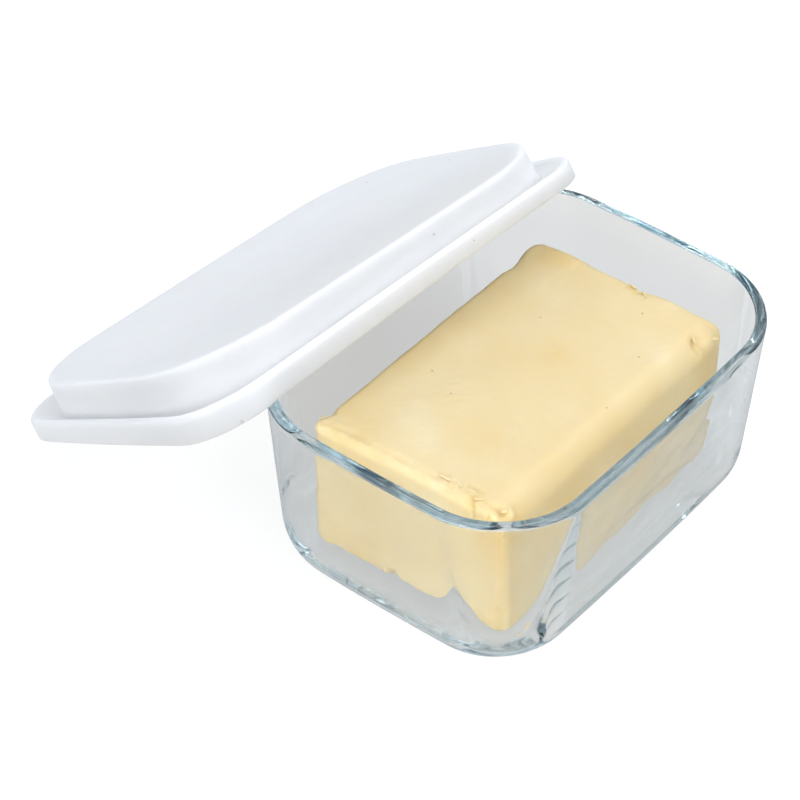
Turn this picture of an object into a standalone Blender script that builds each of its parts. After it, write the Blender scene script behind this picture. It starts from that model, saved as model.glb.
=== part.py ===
"""Butter dish: a pressed glass dish, a block of butter in it, and the plastic lid that leans on its rim.

Metres, +Z up. The origin is the centre of the dish's foot, where it stands on the table. +Y runs along
the dish and +X across it, away from the lid. Sizes are in millimetres until MM turns them into metres.
"""
import math

import bmesh
import bpy
from mathutils import Matrix, Vector

MM = 0.001

# Dish
DISH_LENGTH = 130.0
DISH_WIDTH = 99.4
DISH_HEIGHT = 60.0
DISH_CORNER = 27.2
DISH_BOW_LONG = 1.1
DISH_BOW_SHORT = 1.24
OUTER_TAPER = 4.8
HEEL_RADIUS = 15.4
RIM_WALL = 3.3
RIM_ROUND = 0.9
INNER_TAPER = 5.2
FLOOR_THICKNESS = 6.5
FLOOR_ROUND = 5.0

# Lid, in its own frame: the crown faces +Z and the brim's edge is at height 0
LID_LENGTH = 149.7
LID_WIDTH = 112.8
LID_CORNER = 18.4
LID_BOW_LONG = 3.4
LID_BOW_SHORT = 1.2
CROWN_LENGTH = 139.2
CROWN_WIDTH = 103.4
CROWN_CORNER = 28.6
CROWN_BOW_LONG = 1.1
CROWN_BOW_SHORT = 1.8
LID_HEIGHT = 14.4
LID_WALL = 1.5
CROWN_ROUND = 1.0
WALL_DRAFT = 0.4
GUTTER_HEIGHT = 4.1
GUTTER_ROUND = 0.8
RIDGE_HEIGHT = 6.1
RIDGE_INSET = 1.5
SKIRT_ROUND = 0.4
UNDER_BRIM_BEVEL = 0.6
UNDER_GUTTER_BEVEL = 0.5
UNDER_CROWN_BEVEL = 1.0

# The brim of the soft lid has crept out of true: its ends droop and its corners twist
BRIM_DROOP = 2.1
BRIM_TWIST = 2.8
BRIM_TIP = 0.4

# How the lid leans
LID_TILT = math.radians(35.7)
LID_YAW = math.radians(-7.8)
LID_PITCH = math.radians(2.05)
LID_CENTRE = Vector((-75.1, 1.0, 33.4))

# Butter
BUTTER_LENGTH = 99.6
BUTTER_WIDTH = 61.6
BUTTER_HEIGHT = 41.7
BUTTER_SKEW = 0.042
BUTTER_CENTRE_X = -0.7
BUTTER_CENTRE_Y = 2.7
BUTTER_ROUND = 2.5
BUTTER_SLUMP = 7.0
BUTTER_CORNER = 4.5
BUTTER_GAP = 0.3

# Facets
CORNER_STEPS = 6
SIDE_STEPS = 4
ROUND_STEPS = 3
SKIRT_STEPS = 2
HEEL_STEPS = 7
OUTER_STEPS = 3
INNER_STEPS = 5
FLOOR_STEPS = 5
SLUMP_STEPS = 4
SMALLEST_CORNER = 4.0
SHARP_EDGE = math.radians(35.0)


def clear_scene():
    for thing in list(bpy.data.objects):
        bpy.data.objects.remove(thing, do_unlink=True)


def make_collection(name):
    collection = bpy.data.collections.new(name)
    bpy.context.scene.collection.children.link(collection)
    return collection


def plain_material(name, colour, roughness, transmission=0.0):
    material = bpy.data.materials.new(name)
    material.use_nodes = True
    shader = material.node_tree.nodes["Principled BSDF"]
    shader.inputs["Base Color"].default_value = (*colour, 1.0)
    shader.inputs["Roughness"].default_value = roughness
    shader.inputs["Metallic"].default_value = 0.0
    shader.inputs["Transmission Weight"].default_value = transmission
    material.diffuse_color = (*colour, 1.0)
    return material


def outline(half_x, half_y, corner, bow_x, bow_y):
    """Plan of a rounded rectangle whose sides bulge: bow_x and bow_y are how far the corners fall back."""
    points = []
    quarters = ((1, 1), (-1, 1), (-1, -1), (1, -1))
    for index, (side_x, side_y) in enumerate(quarters):
        for step in range(CORNER_STEPS + 1):
            angle = math.radians(90.0) * (index + step / CORNER_STEPS)
            points.append(Vector((
                side_x * (half_x - corner) + corner * math.cos(angle),
                side_y * (half_y - corner) + corner * math.sin(angle),
            )))
        next_x, next_y = quarters[(index + 1) % 4]
        angle = math.radians(90.0) * (index + 1)
        end = Vector((
            next_x * (half_x - corner) + corner * math.cos(angle),
            next_y * (half_y - corner) + corner * math.sin(angle),
        ))
        start = points[-1]
        for step in range(1, SIDE_STEPS):
            points.append(start.lerp(end, step / SIDE_STEPS))
    return [
        Vector((
            point.x * (1 - bow_x / half_x * (point.y / half_y) ** 2),
            point.y * (1 - bow_y / half_y * (point.x / half_x) ** 2),
        ))
        for point in points
    ]


def arc(centre_a, centre_z, radius, start, end, steps=ROUND_STEPS):
    """Points (inset, height) of a round stretch; the angles are in degrees."""
    angles = [math.radians(start + (end - start) * step / steps) for step in range(steps + 1)]
    return [(centre_a + radius * math.cos(a), centre_z + radius * math.sin(a)) for a in angles]


def loft(name, rings, material, collection):
    """One closed body through the rings, which all have the same number of points, with flat ends."""
    mesh = bmesh.new()
    loops = [[mesh.verts.new(point * MM) for point in ring] for ring in rings]
    count = len(rings[0])
    for low, high in zip(loops, loops[1:]):
        for index in range(count):
            following = (index + 1) % count
            mesh.faces.new((low[index], low[following], high[following], high[index]))
    mesh.faces.new(list(reversed(loops[0])))
    mesh.faces.new(loops[-1])
    bmesh.ops.recalc_face_normals(mesh, faces=mesh.faces)
    data = bpy.data.meshes.new(name)
    mesh.to_mesh(data)
    mesh.free()
    data.materials.append(material)
    data.shade_smooth()
    data.set_sharp_from_angle(angle=SHARP_EDGE)
    thing = bpy.data.objects.new(name, data)
    collection.objects.link(thing)
    return thing


def dish_outer_inset(height):
    """How far the outer wall stands back from the rim's outline at this height."""
    inset = OUTER_TAPER * (1 - height / DISH_HEIGHT)
    if height < HEEL_RADIUS:
        inset += HEEL_RADIUS - math.sqrt(HEEL_RADIUS ** 2 - (HEEL_RADIUS - height) ** 2)
    return inset


def dish_section():
    """(inset, height) from the foot, up the outside, over the rim and down the inside to the floor."""
    top = DISH_HEIGHT - RIM_ROUND
    quarter = math.radians(90.0)
    heel = [HEEL_RADIUS * (1 - math.cos(quarter * step / HEEL_STEPS)) for step in range(HEEL_STEPS)]
    wall = [HEEL_RADIUS + (top - HEEL_RADIUS) * step / OUTER_STEPS for step in range(OUTER_STEPS + 1)]
    outside = [(dish_outer_inset(height), height) for height in heel + wall]
    rim = arc(RIM_ROUND + dish_outer_inset(top), top, RIM_ROUND, 180, 90)[1:]
    rim += arc(RIM_WALL - RIM_ROUND, top, RIM_ROUND, 90, 0)
    floor_corner = FLOOR_THICKNESS + FLOOR_ROUND
    inside = []
    for step in range(1, INNER_STEPS):
        fall = step / INNER_STEPS
        inside.append((RIM_WALL + INNER_TAPER * fall, top + (floor_corner - top) * fall))
    floor = arc(RIM_WALL + INNER_TAPER + FLOOR_ROUND, floor_corner, FLOOR_ROUND, 180, 270, FLOOR_STEPS)
    return outside + rim + inside + floor


def dish_ring(inset, height):
    points = outline(
        DISH_WIDTH / 2 - inset,
        DISH_LENGTH / 2 - inset,
        max(DISH_CORNER - inset, SMALLEST_CORNER),
        DISH_BOW_LONG,
        DISH_BOW_SHORT,
    )
    return [Vector((point.x, point.y, height)) for point in points]


def make_dish(collection):
    rings = [dish_ring(inset, height) for inset, height in dish_section()]
    glass = plain_material("dish_glass", (0.86, 0.93, 0.93), 0.03, 1.0)
    return loft("dish", rings, glass, collection)


def brim_shift(point):
    """How far the crept brim lies off its true plane; the crown stays flat."""
    along = point.y / (LID_LENGTH / 2)
    across = point.x / (LID_WIDTH / 2)
    fade = 1 - min(max(point.z / (LID_HEIGHT - LID_WALL), 0.0), 1.0)
    return fade * (BRIM_TIP * along + BRIM_TWIST * along * across - BRIM_DROOP * along ** 2)


def lid_ring(plan, inset, height):
    """A ring of the lid, inset from the plan of its brim or of its crown."""
    if plan == "brim":
        sizes = (LID_WIDTH / 2, LID_LENGTH / 2, LID_CORNER, LID_BOW_LONG, LID_BOW_SHORT)
    else:
        sizes = (CROWN_WIDTH / 2, CROWN_LENGTH / 2, CROWN_CORNER, CROWN_BOW_LONG, CROWN_BOW_SHORT)
    half_x, half_y, corner, bow_x, bow_y = sizes
    ring = []
    for flat in outline(half_x - inset, half_y - inset, corner - inset, bow_x, bow_y):
        point = Vector((flat.x, flat.y, height))
        point.z += brim_shift(point)
        ring.append(point)
    return ring


def lid_section():
    """(plan, inset, height) from the top of the crown, out over the brim, and back underneath."""
    crown = arc(CROWN_ROUND, LID_HEIGHT - CROWN_ROUND, CROWN_ROUND, 90, 180)
    wall_foot = arc(
        -WALL_DRAFT - GUTTER_ROUND, GUTTER_HEIGHT + GUTTER_ROUND, GUTTER_ROUND, 0, -90
    )
    ridge = arc(RIDGE_INSET, RIDGE_HEIGHT - RIDGE_INSET, RIDGE_INSET, 90, 180)
    skirt = arc(SKIRT_ROUND, SKIRT_ROUND, SKIRT_ROUND, 180, 270, SKIRT_STEPS)
    skirt += arc(LID_WALL - SKIRT_ROUND, SKIRT_ROUND, SKIRT_ROUND, 270, 360, SKIRT_STEPS)
    under_ridge = RIDGE_HEIGHT - LID_WALL
    under_gutter = GUTTER_HEIGHT - LID_WALL
    under_crown = LID_HEIGHT - LID_WALL
    section = [("crown", inset, height) for inset, height in crown + wall_foot]
    section += [("brim", inset, height) for inset, height in ridge + skirt]
    section += [
        ("brim", LID_WALL, under_ridge - UNDER_BRIM_BEVEL),
        ("brim", LID_WALL + UNDER_BRIM_BEVEL, under_ridge),
        ("crown", LID_WALL - WALL_DRAFT - UNDER_GUTTER_BEVEL, under_gutter),
        ("crown", LID_WALL - WALL_DRAFT, under_gutter + UNDER_GUTTER_BEVEL),
        ("crown", LID_WALL, under_crown - UNDER_CROWN_BEVEL),
        ("crown", LID_WALL + UNDER_CROWN_BEVEL, under_crown),
    ]
    return section


def make_lid(collection):
    rings = [lid_ring(*step) for step in lid_section()]
    plastic = plain_material("lid_plastic", (0.86, 0.88, 0.90), 0.35)
    lid = loft("lid", rings, plastic, collection)
    turn = (
        Matrix.Rotation(LID_YAW, 4, "Z")
        @ Matrix.Rotation(-LID_TILT, 4, "Y")
        @ Matrix.Rotation(LID_PITCH, 4, "X")
    )
    lid.matrix_world = Matrix.Translation(LID_CENTRE * MM) @ turn
    return lid


def butter_section():
    """(inset, height) from the slumped lower edge up to the sharper top edge."""
    low = arc(BUTTER_SLUMP, BUTTER_SLUMP, BUTTER_SLUMP, 270, 180, SLUMP_STEPS)
    top = BUTTER_HEIGHT - BUTTER_ROUND
    high = arc(BUTTER_ROUND, top, BUTTER_ROUND, 180, 90)
    return low + high


def make_butter(collection):
    """A block cut a little out of square, with soft edges."""
    rings = []
    for inset, height in butter_section():
        half_x = BUTTER_WIDTH / 2 - inset
        half_y = BUTTER_LENGTH / 2 - inset
        plan = outline(half_x, half_y, BUTTER_CORNER + inset, 0.0, 0.0)
        rings.append([
            Vector((point.x, point.y + BUTTER_SKEW * point.x, height)) for point in plan
        ])
    butter = loft("butter", rings, plain_material("butter", (0.86, 0.70, 0.42), 0.4), collection)
    base = FLOOR_THICKNESS + BUTTER_GAP
    butter.location = Vector((BUTTER_CENTRE_X, BUTTER_CENTRE_Y, base)) * MM
    return butter


def main():
    clear_scene()
    collection = make_collection("butter_dish")
    make_dish(collection)
    make_butter(collection)
    make_lid(collection)


main()
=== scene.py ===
"""Looks of the butter dish: pressed glass, soft white plastic and butter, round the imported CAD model."""
import math

import bmesh
import bpy
from mathutils import Matrix, Vector, noise


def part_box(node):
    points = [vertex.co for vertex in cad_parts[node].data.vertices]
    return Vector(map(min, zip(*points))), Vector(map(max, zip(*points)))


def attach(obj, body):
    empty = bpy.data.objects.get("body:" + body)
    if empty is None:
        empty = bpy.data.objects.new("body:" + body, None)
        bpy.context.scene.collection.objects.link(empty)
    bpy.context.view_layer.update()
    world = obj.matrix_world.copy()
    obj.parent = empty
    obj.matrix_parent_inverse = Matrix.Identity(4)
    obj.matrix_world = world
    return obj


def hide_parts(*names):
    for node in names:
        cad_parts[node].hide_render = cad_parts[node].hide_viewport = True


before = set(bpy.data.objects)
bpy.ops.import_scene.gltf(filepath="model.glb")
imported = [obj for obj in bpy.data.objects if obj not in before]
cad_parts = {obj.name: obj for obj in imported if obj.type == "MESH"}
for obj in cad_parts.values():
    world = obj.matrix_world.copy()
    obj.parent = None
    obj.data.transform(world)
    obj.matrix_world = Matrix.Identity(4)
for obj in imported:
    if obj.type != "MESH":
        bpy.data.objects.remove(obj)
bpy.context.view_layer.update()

MM = 0.001

# Camera: where it looks, in millimetres, and from where
CAMERA_TARGET = Vector((-29.89, -13.42, 33.48))
CAMERA_AZIMUTH = math.radians(38.568)
CAMERA_ELEVATION = math.radians(42.001)
CAMERA_ROLL = math.radians(0.316)
CAMERA_DISTANCE = 896.0
CAMERA_LENS = 147.5

# Tables: side in metres, height in metres, grey value, glow, tint, and the rays that meet them
WHITE = (1.0, 1.0, 1.0, 1.0)
TABLES = {
    "table_seen": (8.0, 0.0, 0.25, 0.80, WHITE, ("camera",)),
    "table_lit": (
        0.6, -0.00002, 0.18, 0.54, WHITE, ("diffuse", "transmission", "volume_scatter", "shadow"),
    ),
    "table_mirrored": (8.0, -0.00004, 0.10, 0.38, (0.85, 0.94, 1.0, 1.0), ("glossy",)),
}

# White boxes: place and size in metres, power in watts, and colour. All face BOXES_FACE
BOXES_FACE = (-0.03, 0.0, 0.03)
TOP_BOX = ((0.1, 0.5, 1.2), (1.2, 1.2), 9.0, (0.95, 0.97, 1.0))
FILL_BOX = ((-1.2, 0.55, 0.8), (0.9, 0.9), 6.5, (0.93, 0.96, 1.0))
KEY_BOX = ((1.3, 0.0, 1.0), (0.9, 0.9), 9.7, (1.0, 1.0, 1.0))
FRONT_BOX = ((0.0, -1.2, 0.35), (0.9, 0.5), 7.0, (1.0, 1.0, 1.0))
GLASS_BOX = ((0.5, -1.1, 0.35), (0.9, 0.5), 5.0, (1.0, 1.0, 1.0))

# The room behind the boxes: colours by how far up a ray points, from the horizon at 0 to straight up at 1
STUDIO_STOPS = (
    (0.0, (0.16, 0.19, 0.22, 1.0)),
    (0.25, (0.20, 0.24, 0.28, 1.0)),
    (0.5, (0.55, 0.60, 0.68, 1.0)),
    (1.0, (0.85, 0.90, 1.0, 1.0)),
)
STUDIO_STRENGTH = 0.8
GLASS_BOUNCES = 48
MIRROR_BOUNCES = 24

# Dish, whose length, width and height come from the frame
DISH_CORNER = 27.2
DISH_BOW_LONG = 1.1
DISH_BOW_SHORT = 1.24
OUTER_TAPER = 4.8
HEEL_RADIUS = 15.4
FOOT_WIDTH = 5.0
RECESS_DEPTH = 1.0
RECESS_ROUND = 1.2
RIM_WALL = 3.3
RIM_OUTER_ROUND = 1.3
RIM_INNER_ROUND = 0.7
INNER_TAPER = 5.2
FLOOR_THICKNESS = 6.5
FLOOR_ROUND = 5.0
SMALLEST_CORNER = 4.0
INNER_CORNER_LOSS = 8.0
RIPPLE = 0.05
RIPPLE_LENGTH = 17.0
FINE_RIPPLE = 0.4
FINE_RIPPLE_RATIO = 2.7
INSIDE_RIPPLE_SHIFT = 90.0
RECESS_STEPS = 8
HEEL_STEPS = 26
OUTER_WALL_STEPS = 32
INNER_WALL_STEPS = 44
FLOOR_ROUND_STEPS = 14
DISH_CORNER_STEPS = 32
DISH_SIDE_STEPS = 30

# Lid, in its own frame: the crown faces +Z and the brim's edge is at height 0
LID_LENGTH = 149.7
LID_WIDTH = 112.8
LID_CORNER = 18.4
LID_BOW_LONG = 3.4
LID_BOW_SHORT = 1.2
CROWN_LENGTH = 139.2
CROWN_WIDTH = 103.4
CROWN_CORNER = 28.6
CROWN_BOW_LONG = 1.1
CROWN_BOW_SHORT = 1.8
LID_HEIGHT = 14.4
LID_WALL = 1.5
CROWN_ROUND = 1.0
WALL_DRAFT = 0.4
GUTTER_HEIGHT = 4.1
GUTTER_ROUND = 0.8
RIDGE_HEIGHT = 6.1
RIDGE_INSET = 1.5
SKIRT_ROUND = 0.4
UNDER_RIDGE_ROUND = 0.8
UNDER_GUTTER_ROUND = 0.5
UNDER_CROWN_ROUND = 1.0
BRIM_DROOP = 2.1
BRIM_TWIST = 2.8
BRIM_TIP = 0.4
LID_TILT = math.radians(35.7)
LID_YAW = math.radians(-7.8)
LID_PITCH = math.radians(2.05)
LID_CENTRE = Vector((-75.1, 1.0, 33.4))

# Butter, whose length, width and height come from the frame
BUTTER_SKEW = 0.042
BUTTER_CORNER_TOP = 2.4
BUTTER_CORNER_FOOT = 4.5
BUTTER_SIDES = ("left", "right", "near", "far")
BUTTER_FOOT = {"left": 2.0, "right": 2.0, "near": 2.0, "far": 7.0}
BUTTER_EDGE = {"left": 2.2, "right": 7.0, "near": 2.8, "far": 2.6}
BUTTER_FOOT_LIFT = 1.8
FOOT_LIFT_REACH = 9.0
FOOT_LIFT_HEIGHT = 12.0
FOOT_LIFT_END = 22.0
FOOT_LIFT_FADE = 3.0
BUTTER_RIGHT_FLARE = 3.0
BUTTER_CORNER_STEPS = 12
BUTTER_PLAN_STEPS = 110
BUTTER_ROUND_STEPS = 10
BUTTER_SIDE_STEPS = 50
STRIP_WIDTH = 3.4
STRIP_DEPTH = 5.0

# Random waves, each a size and a strength: all over the butter, in the strip along its near edge, in
# the outlines of its dents and along its creases
BUTTER_WAVES = ((19.0, 0.30), (5.0, 0.10), (1.7, 0.035))
STRIP_WAVES = ((3.2, 0.45), (1.3, 0.2))
DENT_WAVES = ((1.6, 0.30),)
CREASE_WAVES = ((2.1, 0.5),)

# How pale the butter is: random waves and a paler strip, then painted shade: the lid's shadow on the
# yellow left end, dents (lumps get painted light), creases and the front edge
PALE_WAVES = ((14.0, 0.15),)
LEFT_END_PAINTED_SHADE = 0.5
LEFT_SHADE_START = 0.3
LEFT_SHADE_LENGTH = 30.0
STRIP_PALE = 0.35
STRIP_PALE_WAVES = ((2.0, 0.5),)
DENT_SHADE = 0.5
SMALL_DENT = 6.0
CREASE_SHADE = 0.4
FRONT_EDGE_SHADE = 0.4
FRONT_EDGE_REACH = 6.0
FRONT_EDGE_START = 4.0

# A crease is a groove between two low ridges, which lie RIDGE_PLACE widths out from its middle
RIDGE_PLACE = 1.5
RIDGE_SHARPNESS = 3.0
RIDGE_SHARE = 0.35
CREASE_REACH = 2.5

# Marks on the butter, measured from the middle of its top: place, radius and depth. A lump's depth is
# less than 0
BUTTER_DENTS = (
    ((-31.6, 35.0, -0.5), 5.0, 0.8),
    ((-31.0, 43.5, -1.0), 5.0, -0.6),
    ((-7.0, 51.0, -0.5), 3.2, 1.3),
    ((-20.0, 50.0, -1.0), 10.0, -0.8),
    ((14.0, 51.0, -1.0), 8.0, -0.5),
    ((4.5, 49.6, -0.3), 3.4, 0.6),
    ((30.0, 45.5, -3.0), 4.0, -1.0),
    ((28.5, 41.0, -1.5), 2.6, 0.6),
    ((29.6, -43.2, -2.0), 1.8, -1.3),
    ((27.6, -45.5, -0.8), 2.4, 0.9),
    ((-30.8, -44.0, -0.5), 3.0, 0.8),
    ((-31.0, -49.0, -1.0), 3.2, -0.6),
    ((12.0, -48.0, -0.5), 2.6, 0.5),
    ((19.5, -47.5, -0.6), 2.4, 0.4),
    ((-3.0, -50.0, -40.5), 3.0, 1.2),
    ((6.0, -26.0, 0.0), 22.0, 0.35),
    ((-8.0, 18.0, 0.0), 26.0, -0.3),
    ((12.0, 30.0, 0.0), 18.0, 0.25),
)

# Creases: corner points from the middle of the top, width and depth
BUTTER_CREASES = (
    (
        (
            (-29.0, -48.6, 0.0), (-18.0, -47.4, 0.0), (-4.0, -47.3, 0.0),
            (10.0, -46.7, 0.0), (28.0, -46.0, 0.0),
        ),
        0.9, 0.3,
    ),
    (((29.3, -49.0, -1.0), (29.8, -48.9, -20.0), (29.6, -48.9, -42.0)), 0.8, 0.3),
    (((29.8, -48.8, -33.0), (30.2, -48.6, -43.0)), 1.7, 0.6),
    (((21.0, -49.4, -36.0), (25.0, -49.2, -38.2), (29.4, -48.8, -38.8)), 0.7, 0.3),
    (((19.0, -46.6, 0.0), (20.8, -48.4, -1.2), (21.4, -49.5, -4.5)), 0.7, 0.4),
    (((25.2, -46.2, 0.0), (25.8, -48.6, -2.0), (25.4, -49.4, -6.0)), 0.6, 0.3),
    (((25.8, 42.2, -0.6), (26.8, 40.4, -0.8), (28.6, 39.4, -1.8), (30.4, 39.8, -4.0)), 0.7, 0.55),
    (((0.6, 47.6, 0.0), (3.2, 47.0, 0.0), (5.0, 47.8, 0.0), (7.4, 46.8, 0.0)), 0.6, 0.5),
    (((6.6, -44.6, 0.0), (9.6, -44.9, 0.0), (12.4, -45.6, 0.0)), 0.6, 0.45),
    (((15.2, -43.4, 0.0), (18.0, -44.2, 0.0), (20.6, -44.0, 0.0)), 0.6, 0.45),
)

# Slivers that stand up from the butter: place from the middle of the top, heading, length and width
BUTTER_SLIVERS = (
    ((9.4, -45.3, 0.15), 8.0, 4.6, 1.1),
    ((13.8, -44.9, 0.1), -24.0, 3.4, 0.9),
    ((17.4, -44.9, 0.1), 12.0, 4.2, 1.0),
    ((20.8, -46.0, 0.0), 40.0, 3.0, 1.2),
    ((23.4, -47.0, -0.3), -12.0, 3.8, 1.4),
    ((28.2, -44.6, -1.0), 70.0, 3.0, 1.5),
    ((2.2, 48.2, 0.1), -10.0, 3.2, 0.9),
    ((6.4, 47.4, 0.1), -34.0, 3.6, 1.0),
    ((8.8, 48.6, -0.2), 10.0, 2.8, 0.8),
    ((30.6, 46.6, -2.6), 60.0, 3.0, 1.4),
    ((27.4, 41.4, -0.8), -48.0, 3.6, 1.2),
    ((-31.2, -46.4, -1.2), 80.0, 3.2, 1.0),
)

# Smears of butter on the glass: place, and how far they reach along X, Y and Z
GLASS_SMEARS = (
    ((45.48, -36.6, 57.4), (0.4, 2.6, 1.5)),
    ((45.65, -33.8, 58.3), (0.4, 2.0, 1.1)),
    ((45.57, -30.9, 56.7), (0.3, 1.3, 0.8)),
    ((34.4, -36.8, 6.7), (1.0, 4.0, 0.3)),
    ((33.6, -41.2, 6.7), (1.4, 1.1, 0.3)),
)

# Scraps of butter: points round each, steps from its foot to its top, and how ragged and bumpy they are
SCRAP_POINTS = 22
SCRAP_STEPS = 9
SCRAP_RAGGED = 0.45
SCRAP_BUMPS = 0.12

# Slivers: the share of the listed length and width that is butter, their thickness and how they lean
SLIVER_SHARE = 0.8
SLIVER_THICKNESS = 0.35
SLIVER_LEAN = math.radians(9.0)


def srgb(red, green, blue):
    """A linear colour from 0 to 255 display values."""
    def linear(value):
        value /= 255.0
        return value / 12.92 if value <= 0.04045 else ((value + 0.055) / 1.055) ** 2.4
    return (linear(red), linear(green), linear(blue), 1.0)


# ---------------------------------------------------------------- shapes

def outline(half_x, half_y, corner, bow_x, bow_y, corner_steps=14, side_steps=14):
    """Plan of a rounded rectangle whose sides bulge: the corners fall back by bow_x and bow_y."""
    points = []
    quarters = ((1, 1), (-1, 1), (-1, -1), (1, -1))
    for index, (side_x, side_y) in enumerate(quarters):
        for step in range(corner_steps + 1):
            angle = math.radians(90.0) * (index + step / corner_steps)
            points.append(Vector((
                side_x * (half_x - corner) + corner * math.cos(angle),
                side_y * (half_y - corner) + corner * math.sin(angle),
            )))
        next_x, next_y = quarters[(index + 1) % 4]
        angle = math.radians(90.0) * (index + 1)
        end = Vector((
            next_x * (half_x - corner) + corner * math.cos(angle),
            next_y * (half_y - corner) + corner * math.sin(angle),
        ))
        start = points[-1]
        for step in range(1, side_steps):
            points.append(start.lerp(end, step / side_steps))
    return [
        Vector((
            point.x * (1 - bow_x / half_x * (point.y / half_y) ** 2),
            point.y * (1 - bow_y / half_y * (point.x / half_x) ** 2),
        ))
        for point in points
    ]


def arc(centre_a, centre_z, radius, start, end, steps=6):
    """Points (inset, height) of a round stretch; the angles are in degrees."""
    angles = [math.radians(start + (end - start) * step / steps) for step in range(steps + 1)]
    return [(centre_a + radius * math.cos(a), centre_z + radius * math.sin(a)) for a in angles]


def shrink(ring, steps):
    """Rings that fill a flat end, from just inside the ring to close to its middle."""
    middle = sum(ring, Vector((0.0, 0.0, 0.0))) / len(ring)
    return [[point.lerp(middle, step / steps) for point in ring] for step in range(1, steps)]


def loft(name, rings, material):
    """One closed body through the rings, in millimetres, which all have the same number of points."""
    mesh = bmesh.new()
    loops = [[mesh.verts.new(point * MM) for point in ring] for ring in rings]
    count = len(rings[0])
    for low, high in zip(loops, loops[1:]):
        for index in range(count):
            following = (index + 1) % count
            mesh.faces.new((low[index], low[following], high[following], high[index]))
    for loop in (loops[0], loops[-1]):
        middle = mesh.verts.new(sum((vertex.co for vertex in loop), Vector()) / count)
        for index in range(count):
            mesh.faces.new((middle, loop[index], loop[(index + 1) % count]))
    bmesh.ops.recalc_face_normals(mesh, faces=mesh.faces)
    data = bpy.data.meshes.new(name)
    mesh.to_mesh(data)
    mesh.free()
    data.materials.append(material)
    data.shade_smooth()
    thing = bpy.data.objects.new(name, data)
    bpy.context.scene.collection.objects.link(thing)
    return thing


# ---------------------------------------------------------------- dish

def make_dish():
    low, high = (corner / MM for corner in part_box("dish"))
    half_x = (high.x - low.x) / 2
    half_y = (high.y - low.y) / 2
    height = high.z

    def taper(z):
        return OUTER_TAPER * (1 - z / height)

    recess_edge = OUTER_TAPER + HEEL_RADIUS + FOOT_WIDTH
    section = []
    for step in range(RECESS_STEPS, -1, -1):
        share = step / RECESS_STEPS
        rise = share * share * (3 - 2 * share)
        section.append((recess_edge + RECESS_ROUND * share, RECESS_DEPTH * rise))
    heel = arc(HEEL_RADIUS, HEEL_RADIUS, HEEL_RADIUS, 270, 180, HEEL_STEPS)
    section += [(inset + taper(z), z) for inset, z in heel]
    top = height - RIM_OUTER_ROUND
    for step in range(1, OUTER_WALL_STEPS + 1):
        z = HEEL_RADIUS + (top - HEEL_RADIUS) * step / OUTER_WALL_STEPS
        section.append((taper(z), z))
    section += arc(RIM_OUTER_ROUND + taper(top), top, RIM_OUTER_ROUND, 180, 90)[1:]
    outside_count = len(section)
    inner_top = height - RIM_INNER_ROUND
    section += arc(RIM_WALL - RIM_INNER_ROUND, inner_top, RIM_INNER_ROUND, 90, 0)
    floor_corner = FLOOR_THICKNESS + FLOOR_ROUND
    for step in range(1, INNER_WALL_STEPS):
        fall = step / INNER_WALL_STEPS
        section.append((RIM_WALL + INNER_TAPER * fall, inner_top + (floor_corner - inner_top) * fall))
    floor_centre = RIM_WALL + INNER_TAPER + FLOOR_ROUND
    section += arc(floor_centre, floor_corner, FLOOR_ROUND, 180, 270, FLOOR_ROUND_STEPS)

    rings = []
    for index, (inset, z) in enumerate(section):
        inside = index >= outside_count
        tightening = INNER_CORNER_LOSS * (1 - z / height) if inside else 0.0
        corner = max(DISH_CORNER - inset - tightening, SMALLEST_CORNER)
        plan = outline(
            half_x - inset, half_y - inset, corner, DISH_BOW_LONG, DISH_BOW_SHORT,
            DISH_CORNER_STEPS, DISH_SIDE_STEPS,
        )
        shift = INSIDE_RIPPLE_SHIFT if inside else 0.0
        ring = []
        for point in plan:
            place = Vector((point.x, point.y, z + shift)) / RIPPLE_LENGTH
            waves = noise.noise(place) + FINE_RIPPLE * noise.noise(place * FINE_RIPPLE_RATIO)
            wave = RIPPLE * waves * min(z / HEEL_RADIUS, 1.0)
            ring.append(Vector((point.x, point.y, 0.0)) * (1 - wave / half_x) + Vector((0.0, 0.0, z)))
        rings.append(ring)
    rings = list(reversed(shrink(rings[0], 10))) + rings + shrink(rings[-1], 10)
    dish = loft("glass_dish", rings, glass_material())
    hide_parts("dish")
    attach(dish, "dish")
    return dish


# ---------------------------------------------------------------- lid

def brim_shift(point):
    """How far the crept brim lies off its true plane; the crown stays flat."""
    along = point.y / (LID_LENGTH / 2)
    across = point.x / (LID_WIDTH / 2)
    fade = 1 - min(max(point.z / (LID_HEIGHT - LID_WALL), 0.0), 1.0)
    return fade * (BRIM_TIP * along + BRIM_TWIST * along * across - BRIM_DROOP * along ** 2)


def lid_ring(plan, inset, height):
    """A ring of the lid, inset from the plan of its brim or of its crown."""
    if plan == "brim":
        sizes = (LID_WIDTH / 2, LID_LENGTH / 2, LID_CORNER, LID_BOW_LONG, LID_BOW_SHORT)
    else:
        sizes = (CROWN_WIDTH / 2, CROWN_LENGTH / 2, CROWN_CORNER, CROWN_BOW_LONG, CROWN_BOW_SHORT)
    half_x, half_y, corner, bow_x, bow_y = sizes
    ring = []
    for flat in outline(half_x - inset, half_y - inset, corner - inset, bow_x, bow_y):
        point = Vector((flat.x, flat.y, height))
        point.z += brim_shift(point)
        ring.append(point)
    return ring


def hollow_round(wall_inset, ceiling, radius):
    """The round under the lid where an inner wall meets the ceiling over it."""
    return arc(wall_inset + radius, ceiling - radius, radius, 180, 90, 4)


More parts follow.
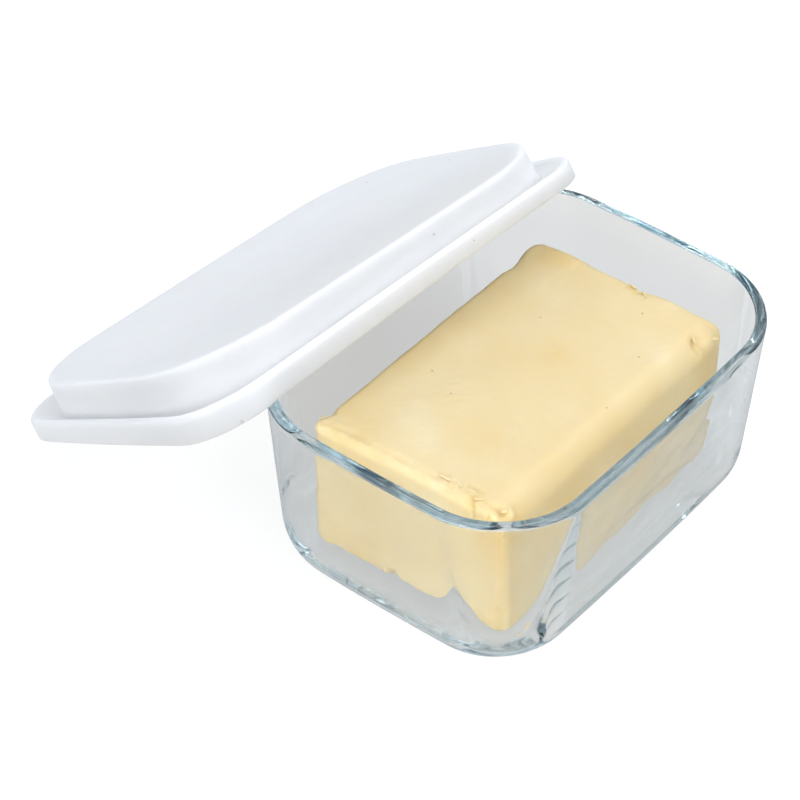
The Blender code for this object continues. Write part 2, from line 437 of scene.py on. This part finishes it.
def make_lid():
    crown = arc(CROWN_ROUND, LID_HEIGHT - CROWN_ROUND, CROWN_ROUND, 90, 180)
    gutter_centre = GUTTER_HEIGHT + GUTTER_ROUND
    wall_foot = arc(-WALL_DRAFT - GUTTER_ROUND, gutter_centre, GUTTER_ROUND, 0, -90)
    ridge = arc(RIDGE_INSET, RIDGE_HEIGHT - RIDGE_INSET, RIDGE_INSET, 90, 180, 8)
    skirt = arc(SKIRT_ROUND, SKIRT_ROUND, SKIRT_ROUND, 180, 270, 4)
    skirt += arc(LID_WALL - SKIRT_ROUND, SKIRT_ROUND, SKIRT_ROUND, 270, 360, 4)
    under_ridge = hollow_round(LID_WALL, RIDGE_HEIGHT - LID_WALL, UNDER_RIDGE_ROUND)
    under_gutter = arc(
        LID_WALL - WALL_DRAFT - UNDER_GUTTER_ROUND, GUTTER_HEIGHT - LID_WALL + UNDER_GUTTER_ROUND,
        UNDER_GUTTER_ROUND, 270, 360, 3,
    )
    under_crown = hollow_round(LID_WALL, LID_HEIGHT - LID_WALL, UNDER_CROWN_ROUND)
    section = [("crown", inset, height) for inset, height in crown + wall_foot]
    section += [("brim", inset, height) for inset, height in ridge + skirt + under_ridge]
    section += [("crown", inset, height) for inset, height in under_gutter + under_crown]
    rings = [lid_ring(*step) for step in section]
    rings = list(reversed(shrink(rings[0], 12))) + rings + shrink(rings[-1], 12)
    lid = loft("plastic_lid", rings, lid_material())
    turn = (
        Matrix.Rotation(LID_YAW, 4, "Z")
        @ Matrix.Rotation(-LID_TILT, 4, "Y")
        @ Matrix.Rotation(LID_PITCH, 4, "X")
    )
    lid.data.transform(Matrix.Translation(LID_CENTRE * MM) @ turn)
    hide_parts("lid")
    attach(lid, "lid")
    return lid


# ---------------------------------------------------------------- butter

def way_out_of_block(point, half_x, half_y, height, core=6.0):
    """Which way is out of the butter at a point measured from the middle of its top."""
    inner = Vector((
        min(max(point.x, core - half_x), half_x - core),
        min(max(point.y, core - half_y), half_y - core),
        min(max(point.z, core - height), -core),
    ))
    return (point - inner).normalized()


def distance_to(point, corners):
    """How far a point is from the line through the corners."""
    best = 1000.0
    for start, end in zip(corners, corners[1:]):
        start = Vector(start)
        run = Vector(end) - start
        share = min(max((point - start).dot(run) / run.length_squared, 0.0), 1.0)
        best = min(best, (point - start - run * share).length)
    return best


def waves(point, sizes):
    """Random waves at a point: sizes holds each wave's size and strength."""
    return sum(strength * noise.noise(point / size) for size, strength in sizes)


def butter_wear_and_shade(point, out, near_edge, half_x):
    """How far the butter stands proud at a point, in millimetres, and how pale it is with its painted
    shade, from -1 to 1.
    """
    push = waves(point, BUTTER_WAVES)
    # Painted shade of the lid's shadow: the left end of the butter is darker and yellower
    to_left = -point.x / LEFT_SHADE_LENGTH - LEFT_SHADE_START
    pale = waves(point, PALE_WAVES) - LEFT_END_PAINTED_SHADE * max(0.0, to_left)

    from_strip = abs(point.y - near_edge - STRIP_WIDTH / 2)
    strip = max(0.0, 1 - from_strip / STRIP_WIDTH) * max(0.0, 1 + point.z / STRIP_DEPTH)
    push += strip * waves(point, STRIP_WAVES)
    pale += strip * (STRIP_PALE + waves(point, STRIP_PALE_WAVES))

    # Painted shade and light: small dents are darker and yellower than the rest, small lumps are paler
    ragged = 1 + waves(point, DENT_WAVES)
    for place, radius, depth in BUTTER_DENTS:
        away = (point - Vector(place)).length / radius * ragged
        if away < 1.0:
            push -= depth * (1 - away * away) ** 2
            if radius < SMALL_DENT:
                pale -= DENT_SHADE * math.copysign(1.0, depth) * (1 - away)

    # Painted shade along each crease: the butter is darker in the groove
    for corners, width, depth in BUTTER_CREASES:
        away = (distance_to(point, corners) + width * waves(point, CREASE_WAVES)) / width
        if abs(away) < CREASE_REACH:
            push -= depth * math.exp(-away * away)
            push += RIDGE_SHARE * depth * math.exp(-(abs(away) - RIDGE_PLACE) ** 2 * RIDGE_SHARPNESS)
            pale -= CREASE_SHADE * math.exp(-away * away)

    # Painted shade down the near right corner, which dulls the highlight the lamps put on it
    from_edge = math.hypot(point.x - half_x, point.y - near_edge)
    below_top = min(-point.z / FRONT_EDGE_START, 1.0)
    pale -= FRONT_EDGE_SHADE * math.exp(-(from_edge / FRONT_EDGE_REACH) ** 2) * below_top

    # Nothing may push down through the dish's floor
    if out.z < -0.3:
        push = min(push, 0.0)
    return push, max(-1.0, min(1.0, pale))


def make_butter():
    low, high = (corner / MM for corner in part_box("butter"))
    half_x = (high.x - low.x) / 2
    half_y = (high.y - low.y) / 2 - BUTTER_SKEW * (half_x - BUTTER_CORNER_FOOT)
    height = high.z - low.z
    centre = Vector(((low.x + high.x) / 2, (low.y + high.y) / 2, low.z))

    def facing(normal, radii):
        side = radii["right"] if normal.x > 0 else radii["left"]
        end = radii["far"] if normal.y > 0 else radii["near"]
        return side * normal.x ** 2 + end * normal.y ** 2

    def ring_at(corner, insets, height_of):
        """insets are the left, right, near and far sides'; height_of takes the way a point faces."""
        left, right, near, far = insets
        wide = half_x - (left + right) / 2
        deep = half_y - (near + far) / 2
        plan = outline(wide, deep, corner, 0.0, 0.0, BUTTER_CORNER_STEPS, BUTTER_PLAN_STEPS)
        count = len(plan)
        ring = []
        for index, point in enumerate(plan):
            run = plan[(index + 1) % count] - plan[index - 1]
            normal = Vector((run.y, -run.x)).normalized()
            x = point.x + (left - right) / 2
            y = point.y + (near - far) / 2
            ring.append(Vector((x, y + BUTTER_SKEW * x, height_of(normal))) + centre)
        return ring

    rings = []
    for step in range(BUTTER_ROUND_STEPS + 1):
        angle = math.radians(90.0) * step / BUTTER_ROUND_STEPS
        insets = [BUTTER_FOOT[side] * (1 - math.sin(angle)) for side in BUTTER_SIDES]
        rings.append(ring_at(BUTTER_CORNER_FOOT, insets, lambda normal, angle=angle: (
            facing(normal, BUTTER_FOOT) * (1 - math.cos(angle))
        )))
    for step in range(1, BUTTER_SIDE_STEPS + 1):
        rise = step / BUTTER_SIDE_STEPS
        corner = BUTTER_CORNER_FOOT + (BUTTER_CORNER_TOP - BUTTER_CORNER_FOOT) * rise

        def height_of(normal, rise=rise):
            foot = facing(normal, BUTTER_FOOT)
            return foot + (height - facing(normal, BUTTER_EDGE) - foot) * rise
        rings.append(ring_at(corner, (0.0,) * 4, height_of))
    for step in range(1, BUTTER_ROUND_STEPS + 1):
        angle = math.radians(90.0) * step / BUTTER_ROUND_STEPS
        insets = [BUTTER_EDGE[side] * (1 - math.cos(angle)) for side in BUTTER_SIDES]
        rings.append(ring_at(BUTTER_CORNER_TOP, insets, lambda normal, angle=angle: (
            height - facing(normal, BUTTER_EDGE) * (1 - math.sin(angle))
        )))
    rings = list(reversed(shrink(rings[0], 8))) + rings + shrink(rings[-1], 40)

    middle = centre + Vector((0.0, 0.0, height))
    paleness_and_shade = []
    for ring in rings:
        for point in ring:
            place = point - middle
            out = way_out_of_block(place, half_x, half_y, height)
            near_edge = BUTTER_SKEW * place.x - half_y
            push, pale = butter_wear_and_shade(place, out, near_edge, half_x)
            near = max(0.0, 1 - (place.y - near_edge) / FOOT_LIFT_REACH)
            at_near_foot = near * max(0.0, 1 - (place.z + height) / FOOT_LIFT_HEIGHT)
            lifted = min(max((FOOT_LIFT_END - place.x) / FOOT_LIFT_FADE, 0.0), 1.0)
            lifted *= 1 + 0.5 * noise.noise(point / 4.0)
            point += out * push
            low_down = (-place.z / height) ** 2
            mid_length = 1 - (place.y / half_y) ** 4
            point.x += BUTTER_RIGHT_FLARE * max(0.0, out.x) * low_down * mid_length
            point.z += BUTTER_FOOT_LIFT * lifted * at_near_foot
            paleness_and_shade.append(pale)
    # The last two values are for the middles of the two ends, which loft adds
    paleness_and_shade += [0.0, 0.0]
    butter = loft("butter_block", rings, butter_material("butter_fat", 0.6))
    tone = butter.data.attributes.new("paleness_and_shade", "FLOAT", "POINT")
    tone.data.foreach_set("value", paleness_and_shade)
    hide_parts("butter")
    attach(butter, "dish")
    return butter, middle


def make_blob(name, place, turn, size, material):
    """A ragged lens of butter: size is its length, width and thickness, and turn lays it on a surface."""
    rings = []
    for step in range(1, SCRAP_STEPS):
        slope = math.pi * step / SCRAP_STEPS
        spread = math.sin(slope)
        ring = []
        for index in range(SCRAP_POINTS):
            angle = 2 * math.pi * index / SCRAP_POINTS
            around = Vector((math.cos(angle), math.sin(angle), place[0]))
            ragged = 1 + SCRAP_RAGGED * noise.noise(around * 1.6)
            point = Vector((
                0.5 * size[0] * spread * ragged * math.cos(angle),
                0.5 * size[1] * spread * ragged * math.sin(angle),
                -0.5 * size[2] * math.cos(slope),
            ))
            point.z += SCRAP_BUMPS * size[1] * noise.noise(point + Vector(place)) * spread
            ring.append(turn @ point + Vector(place))
        rings.append(ring)
    blob = loft(name, rings, material)
    tone = blob.data.attributes.new("paleness_and_shade", "FLOAT", "POINT")
    tone.data.foreach_set("value", [0.0] * len(blob.data.vertices))
    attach(blob, "dish")
    return blob


def make_slivers(middle, material):
    slivers = []
    for index, (place, heading, length, width) in enumerate(BUTTER_SLIVERS):
        name = f"butter_sliver_{index + 1}"
        turn = Matrix.Rotation(math.radians(heading), 3, "Z") @ Matrix.Rotation(SLIVER_LEAN, 3, "X")
        size = (SLIVER_SHARE * length, SLIVER_SHARE * width, SLIVER_THICKNESS)
        slivers.append(make_blob(name, middle + Vector(place), turn, size, material))
    return slivers


def make_smears(material):
    smears = []
    for index, (place, (wide, deep, tall)) in enumerate(GLASS_SMEARS):
        upright = tall > wide
        turn = Matrix.Rotation(math.radians(90.0), 3, "Y") if upright else Matrix.Identity(3)
        size = (tall, deep, wide) if upright else (wide, deep, tall)
        smears.append(make_blob(f"butter_smear_{index + 1}", place, turn, size, material))
    return smears


# ---------------------------------------------------------------- materials

def set_stops(ramp, stops):
    """Give a colour ramp its stops, each a place from 0 to 1 and a colour."""
    while len(ramp.elements) < len(stops):
        ramp.elements.new(0.5)
    for element, (place, colour) in zip(ramp.elements, stops):
        element.position = place
        element.color = colour


class Nodes:
    """Short hand for building one material's node tree."""

    def __init__(self, name):
        self.material = bpy.data.materials.new(name)
        self.material.use_nodes = True
        self.tree = self.material.node_tree
        self.shader = self.tree.nodes["Principled BSDF"]
        self.output = self.tree.nodes["Material Output"]

    def add(self, kind, links=None, **values):
        node = self.tree.nodes.new(kind)
        for key, value in values.items():
            setattr(node, key, value)
        for socket, source in (links or {}).items():
            if isinstance(source, bpy.types.NodeSocket):
                self.tree.links.new(source, node.inputs[socket])
            else:
                node.inputs[socket].default_value = source
        return node

    def set(self, **values):
        for key, value in values.items():
            self.shader.inputs[key.replace("_", " ")].default_value = value

    def link(self, source, socket):
        self.tree.links.new(source, self.shader.inputs[socket])

    def ramp(self, source, stops):
        """Colours by value: stops are (value, colour)."""
        node = self.add("ShaderNodeValToRGB", {"Fac": source})
        set_stops(node.color_ramp, stops)
        return node.outputs["Color"]

    def spread(self, source, low, high):
        """A 0 to 1 value made to run from low to high."""
        links = {"Value": source, "To Min": low, "To Max": high}
        return self.add("ShaderNodeMapRange", links).outputs["Result"]

    def texture(self, place, scale, detail):
        """Soft random values from 0 to 1; scale is waves to the metre."""
        links = {"Vector": place, "Scale": scale, "Detail": detail}
        return self.add("ShaderNodeTexNoise", links).outputs["Fac"]

    def stretch(self, place, scales):
        """The place with each axis scaled, so that a texture of scale 1 runs in lines."""
        return self.add("ShaderNodeMapping", {"Vector": place, "Scale": scales}).outputs["Vector"]

    def bump(self, source, strength, distance, normal=None):
        links = {"Height": source, "Strength": strength, "Distance": distance}
        if normal is not None:
            links["Normal"] = normal
        return self.add("ShaderNodeBump", links).outputs["Normal"]

    def specks(self, colour, place, scale, size, tint, rarity=0.72):
        """The colour with small specks on it: scale is cells to the metre, size a share of a cell."""
        cells = self.add("ShaderNodeTexVoronoi", {"Vector": place, "Scale": scale})
        near = self.add("ShaderNodeMath", {0: cells.outputs["Distance"], 1: size}, operation="LESS_THAN")
        parts = self.add("ShaderNodeSeparateColor", {"Color": cells.outputs["Color"]})
        rare = self.add("ShaderNodeMath", {0: parts.outputs["Red"], 1: rarity}, operation="GREATER_THAN")
        links = {0: near.outputs["Value"], 1: rare.outputs["Value"]}
        both = self.add("ShaderNodeMath", links, operation="MULTIPLY")
        return self.blend(both.outputs["Value"], colour, tint)

    def blend(self, share, first, second):
        """From the first colour to the second: a Mix node's inputs 6 and 7 and output 2."""
        return self.add("ShaderNodeMix", {0: share, 6: first, 7: second}, data_type="RGBA").outputs[2]


def glass_material():
    """Clear pressed glass with a blue-green depth, faint mould waves, and a film of grease in places."""
    nodes = Nodes("pressed_glass")
    nodes.set(Roughness=0.0, IOR=1.5, Transmission_Weight=1.0)
    place = nodes.add("ShaderNodeTexCoord").outputs["Object"]
    film = nodes.texture(place, 26.0, 4.0)
    nodes.link(nodes.ramp(film, (
        (0.35, (0.985, 0.997, 1.0, 1.0)),
        (0.70, (0.965, 0.975, 0.972, 1.0)),
    )), "Base Color")
    smear = nodes.add("ShaderNodeMapRange", {
        "Value": film, "From Min": 0.66, "From Max": 0.78, "To Max": 0.03,
    })
    nodes.link(smear.outputs["Result"], "Roughness")
    waves = nodes.texture(place, 30.0, 1.0)
    around = nodes.stretch(place, (9.0, 9.0, 160.0))
    lines = nodes.texture(around, 1.0, 2.0)
    broad = nodes.bump(waves, 0.05, 0.001)
    nodes.link(nodes.bump(lines, 0.03, 0.0004, broad), "Normal")
    depth = nodes.add("ShaderNodeVolumeAbsorption", {"Color": (0.30, 0.52, 0.57, 1.0), "Density": 6.0})
    nodes.tree.links.new(depth.outputs["Volume"], nodes.output.inputs["Volume"])
    return nodes.material


def lid_material():
    """Milky polythene: soft inside, with a fine satin grain, faint scuffs and a few specks of dust."""
    nodes = Nodes("soft_white_plastic")
    nodes.set(IOR=1.5, Subsurface_Weight=1.0, Specular_IOR_Level=0.25)
    nodes.shader.inputs["Subsurface Radius"].default_value = (1.0, 1.0, 1.0)
    nodes.shader.inputs["Subsurface Scale"].default_value = 0.010
    place = nodes.add("ShaderNodeTexCoord").outputs["Object"]
    clouds = nodes.texture(place, 45.0, 4.0)
    milk = nodes.ramp(clouds, ((0.3, srgb(241, 243, 247)), (0.7, srgb(245, 247, 249))))
    dusty = nodes.specks(milk, place, 85.0, 0.050, srgb(214, 212, 216))
    nodes.link(nodes.specks(dusty, place, 140.0, 0.060, srgb(204, 198, 198), 0.80), "Base Color")
    worn = nodes.texture(place, 70.0, 5.0)
    nodes.link(nodes.spread(worn, 0.32, 0.46), "Roughness")
    grain = nodes.texture(place, 1400.0, 3.0)
    scuffs = nodes.stretch(place, (30.0, 700.0, 30.0))
    scratch = nodes.texture(scuffs, 1.0, 2.0)
    satin = nodes.bump(grain, 0.06, 0.0002)
    nodes.link(nodes.bump(scratch, 0.03, 0.0002, satin), "Normal")
    return nodes.material


def butter_material(name, softness):
    """Butter; softness is how much light goes in, which is none for scraps that are too thin for it."""
    nodes = Nodes(name)
    nodes.set(Base_Color=srgb(248, 226, 176), Roughness=0.42, IOR=1.46, Subsurface_Weight=softness)
    nodes.shader.inputs["Subsurface Radius"].default_value = (1.0, 0.75, 0.35)
    nodes.shader.inputs["Subsurface Scale"].default_value = 0.004
    place = nodes.add("ShaderNodeTexCoord").outputs["Object"]
    # The butter's own tone and its painted shade, from make_butter, drive the colour ramp: low values give
    # the darker yellow
    pale = nodes.add("ShaderNodeAttribute", attribute_name="paleness_and_shade").outputs["Fac"]
    clouds = nodes.texture(place, 38.0, 3.0)
    links = {0: pale, 1: 0.3, 2: clouds}
    share = nodes.add("ShaderNodeMath", links, operation="MULTIPLY_ADD").outputs["Value"]
    colour = nodes.ramp(share, (
        (0.10, srgb(213, 181, 113)),
        (0.40, srgb(218, 196, 146)),
        (0.60, srgb(220, 201, 156)),
        (0.90, srgb(227, 215, 182)),
    ))
    nodes.link(nodes.specks(colour, place, 200.0, 0.075, srgb(190, 166, 118), 0.82), "Base Color")
    sheen = nodes.texture(place, 60.0, 3.0)
    nodes.link(nodes.spread(sheen, 0.36, 0.56), "Roughness")
    grain = nodes.texture(place, 900.0, 4.0)
    drag = nodes.stretch(place, (240.0, 40.0, 240.0))
    drawn = nodes.texture(drag, 1.0, 3.0)
    fine = nodes.bump(grain, 0.10, 0.0002)
    nodes.link(nodes.bump(drawn, 0.12, 0.0004, fine), "Normal")
    return nodes.material


# ---------------------------------------------------------------- stage

def make_table(name, size, height, value, glow, tint, rays):
    """A table top that only some rays meet: the camera's own, those that light, or mirror reflections."""
    nodes = Nodes(name + "_top")
    nodes.set(Base_Color=(value, value, value * 1.01, 1.0), Roughness=0.6)
    nodes.set(Emission_Color=tint, Emission_Strength=glow)
    bpy.ops.mesh.primitive_plane_add(size=size, location=(0.0, 0.0, height))
    table = bpy.context.object
    table.name = name
    table.data.materials.append(nodes.material)
    for ray in ("camera", "diffuse", "glossy", "transmission", "volume_scatter", "shadow"):
        setattr(table, "visible_" + ray, ray in rays)


def make_camera():
    data = bpy.data.cameras.new("camera")
    data.lens = CAMERA_LENS
    data.sensor_width = 36.0
    data.clip_start = 0.01
    camera = bpy.data.objects.new("camera", data)
    bpy.context.scene.collection.objects.link(camera)
    flat = math.cos(CAMERA_ELEVATION)
    back = Vector((
        math.sin(CAMERA_AZIMUTH) * flat,
        -math.cos(CAMERA_AZIMUTH) * flat,
        math.sin(CAMERA_ELEVATION),
    ))
    right = Vector((math.cos(CAMERA_AZIMUTH), math.sin(CAMERA_AZIMUTH), 0.0))
    up = back.cross(right)
    rolled_right = right * math.cos(CAMERA_ROLL) + up * math.sin(CAMERA_ROLL)
    rolled_up = up * math.cos(CAMERA_ROLL) - right * math.sin(CAMERA_ROLL)
    turn = Matrix((rolled_right, rolled_up, back)).transposed().to_4x4()
    camera.matrix_world = Matrix.Translation((CAMERA_TARGET + back * CAMERA_DISTANCE) * MM) @ turn
    bpy.context.scene.camera = camera


def softbox(name, place, size, power, colour):
    data = bpy.data.lights.new(name, "AREA")
    data.shape = "RECTANGLE"
    data.size, data.size_y = size
    data.energy = power
    data.color = colour
    light = bpy.data.objects.new(name, data)
    light.location = place
    light.rotation_mode = "QUATERNION"
    light.rotation_quaternion = (Vector(BOXES_FACE) - Vector(place)).to_track_quat("-Z", "Y")
    bpy.context.scene.collection.objects.link(light)
    return light


def gather(name, things):
    """A collection that light linking names, of things that stay where they are in the scene."""
    collection = bpy.data.collections.new(name)
    for thing in things:
        collection.objects.link(thing)
    return collection


def make_lights(dish, opaque):
    """White boxes all round: the glass casts no shadow from key_box and front_box, and has its own."""
    softbox("top_box", *TOP_BOX)
    softbox("fill_box", *FILL_BOX)
    blockers = gather("casts_shadow", opaque)
    for name, settings in (("key_box", KEY_BOX), ("front_box", FRONT_BOX)):
        softbox(name, *settings).light_linking.blocker_collection = blockers
    glass_box = softbox("glass_box", *GLASS_BOX)
    glass_box.light_linking.receiver_collection = gather("takes_glass_box", [dish])


def make_studio():
    """The dark room round the white boxes: dim at the horizon and pale overhead."""
    world = bpy.data.worlds.new("studio")
    bpy.context.scene.world = world
    world.use_nodes = True
    nodes, links = world.node_tree.nodes, world.node_tree.links
    way = nodes.new("ShaderNodeTexCoord")
    parts = nodes.new("ShaderNodeSeparateXYZ")
    ramp = nodes.new("ShaderNodeValToRGB")
    links.new(way.outputs["Generated"], parts.inputs["Vector"])
    links.new(parts.outputs["Z"], ramp.inputs["Fac"])
    links.new(ramp.outputs["Color"], nodes["Background"].inputs["Color"])
    set_stops(ramp.color_ramp, STUDIO_STOPS)
    nodes["Background"].inputs["Strength"].default_value = STUDIO_STRENGTH


def set_light_paths():
    """Light has to cross the glass wall many times on its way up to the rim."""
    scene = bpy.context.scene
    scene.cycles.max_bounces = GLASS_BOUNCES
    scene.cycles.transmission_bounces = GLASS_BOUNCES
    scene.cycles.glossy_bounces = MIRROR_BOUNCES
    scene.view_settings.view_transform = "Standard"
    scene.view_settings.look = "None"


make_camera()
for table_name, table_settings in TABLES.items():
    make_table(table_name, *table_settings)
make_studio()
set_light_paths()
dish = make_dish()
butter, butter_top = make_butter()
scrap_material = butter_material("butter_scraps", 0.0)
scraps = make_slivers(butter_top, scrap_material) + make_smears(scrap_material)
lid = make_lid()
make_lights(dish, [lid, butter] + scraps)
